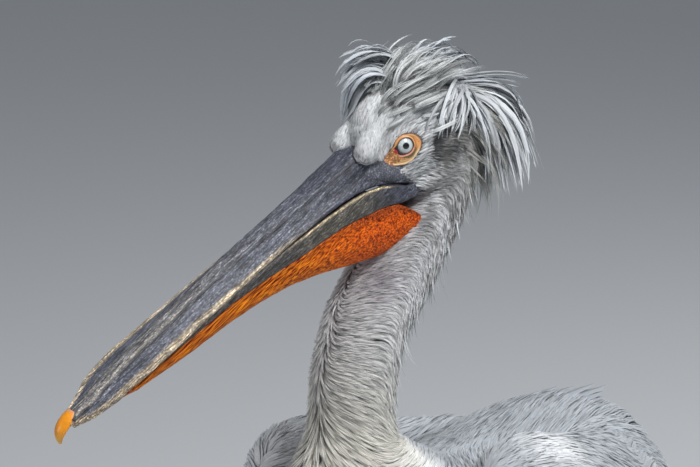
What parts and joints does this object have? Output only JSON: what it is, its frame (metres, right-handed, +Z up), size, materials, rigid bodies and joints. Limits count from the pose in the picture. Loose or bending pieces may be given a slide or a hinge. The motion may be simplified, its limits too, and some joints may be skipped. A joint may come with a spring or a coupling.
{
  "type": "pelican",
  "caption": "Life-size white pelican standing at rest: long hooked bill with an orange throat pouch, shaggy nape crest, folded wings, webbed feet.",
  "frame": {"origin": "middle of the bounding box at the level of the soles", "axes": "-Y the way the breast faces, +X the bird's left, +Z up; the head is turned a little to the bird's right, so the bill's tip is the -Y end"},
  "size_m": [0.3574, 1.0134, 0.8807],
  "materials": {
    "plumage": "matte silvery-white feathers",
    "neck_plumage": "matte white feathers with a faint yellow tinge",
    "flight_feather": "satin grey flight feathers",
    "bill_horn": "mottled slate horn, satin",
    "jaw_horn": "brownish grey horn, satin",
    "nail_horn": "orange-yellow horn, glossy",
    "pouch_skin": "bare orange-red skin, satin",
    "eye_iris": "pale iris under a wet cornea",
    "leg_skin": "lead-grey scaly skin",
    "claw_horn": "dark horn"
  },
  "bodies": {
    "root": {"head": "plumage", "neck_upper": "neck_plumage", "neck_middle": "neck_plumage", "neck_lower": "neck_plumage", "trunk": "plumage", "crest": "plumage", "eye_left": "eye_iris", "eye_right": "eye_iris", "upper_bill": "bill_horn", "bill_nail": "nail_horn", "lower_bill": "jaw_horn", "pouch": "pouch_skin", "wing_left": "plumage", "wing_right": "plumage", "primaries_left": "flight_feather", "primaries_right": "flight_feather", "tail": "flight_feather", "thigh_left": "plumage", "thigh_right": "plumage", "shank_left": "leg_skin", "shank_right": "leg_skin", "foot_left": "leg_skin", "foot_right": "leg_skin", "claw_left_1": "claw_horn", "claw_left_2": "claw_horn", "claw_left_3": "claw_horn", "claw_left_4": "claw_horn", "claw_right_1": "claw_horn", "claw_right_2": "claw_horn", "claw_right_3": "claw_horn", "claw_right_4": "claw_horn"}
  },
  "joints": []
}
